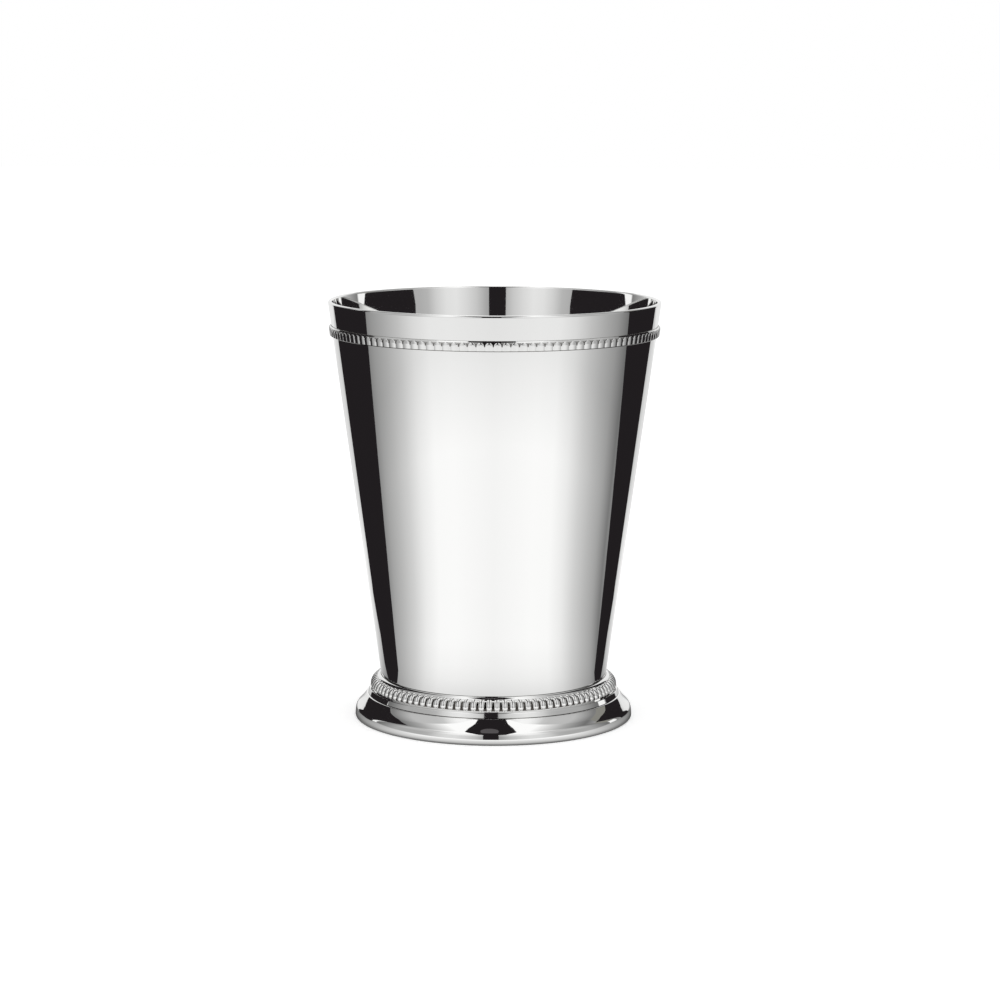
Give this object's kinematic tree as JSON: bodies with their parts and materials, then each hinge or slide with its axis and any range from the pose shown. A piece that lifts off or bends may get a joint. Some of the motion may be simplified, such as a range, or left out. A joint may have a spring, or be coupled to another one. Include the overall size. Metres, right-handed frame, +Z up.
{
  "type": "julep cup",
  "caption": "Footed metal julep cup: a conical beaker with a beaded band below its rounded lip, on a flared foot with a beaded shoulder.",
  "frame": {"origin": "middle of the circle that the foot stands on", "axes": "+Z up along the cup's axis, which every piece is turned about; -Y is the front in the picture"},
  "size_m": [0.085, 0.085, 0.108],
  "materials": {
    "bright_plate": "bright silver plate, mirror polished",
    "beaded_plate": "bright silver plate over struck beads",
    "solder": "soft solder, dull"
  },
  "bodies": {
    "root": {"beaker": "bright_plate", "upper_bead_band": "beaded_plate", "upper_band_solder": "solder", "bead_ring": "beaded_plate", "bead_ring_solder": "solder", "foot": "bright_plate", "foot_solder": "solder"}
  },
  "joints": []
}
